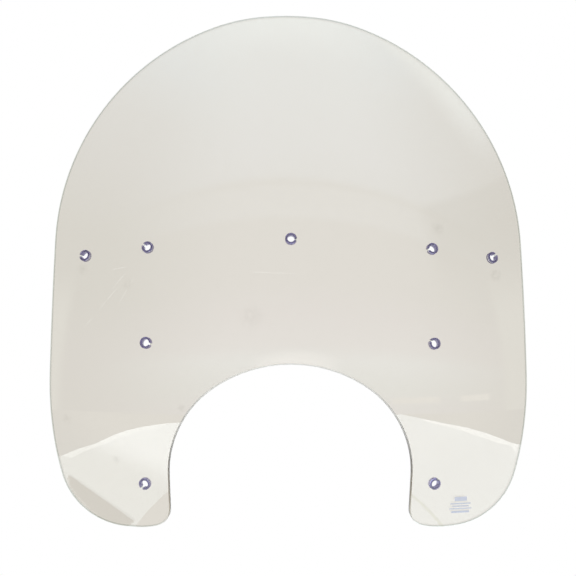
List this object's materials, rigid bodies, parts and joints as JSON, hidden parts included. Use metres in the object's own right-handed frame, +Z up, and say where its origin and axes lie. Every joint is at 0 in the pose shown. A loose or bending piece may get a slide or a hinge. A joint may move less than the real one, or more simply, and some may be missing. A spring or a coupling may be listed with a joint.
{
  "type": "motorcycle windshield screen",
  "caption": "Tall clear curved windshield screen with bushed bolt holes, a headlamp cut-out and two lower lobes.",
  "frame": {"origin": "middle of the bore of the top centre bush", "axes": "+Z up as fitted on the machine, +X to the right as seen from in front, and the bulging outer face looks along -Y"},
  "size_m": [0.5638, 0.1664, 0.6201],
  "materials": {
    "clear_sheet": "clear hard-coated polycarbonate, faint warm grey, polished faces and routed edges",
    "bush_vinyl": "soft slit bush of translucent vinyl with a violet tint, satin",
    "ink": "thin pale blue screen-printed ink"
  },
  "bodies": {
    "root": {"screen": "clear_sheet", "bush_top_centre": "bush_vinyl", "bush_inner_left": "bush_vinyl", "bush_inner_right": "bush_vinyl", "bush_outer_left": "bush_vinyl", "bush_outer_right": "bush_vinyl", "bush_middle_left": "bush_vinyl", "bush_middle_right": "bush_vinyl", "bush_lower_left": "bush_vinyl", "bush_lower_right": "bush_vinyl", "print_mark": "ink"}
  },
  "joints": []
}
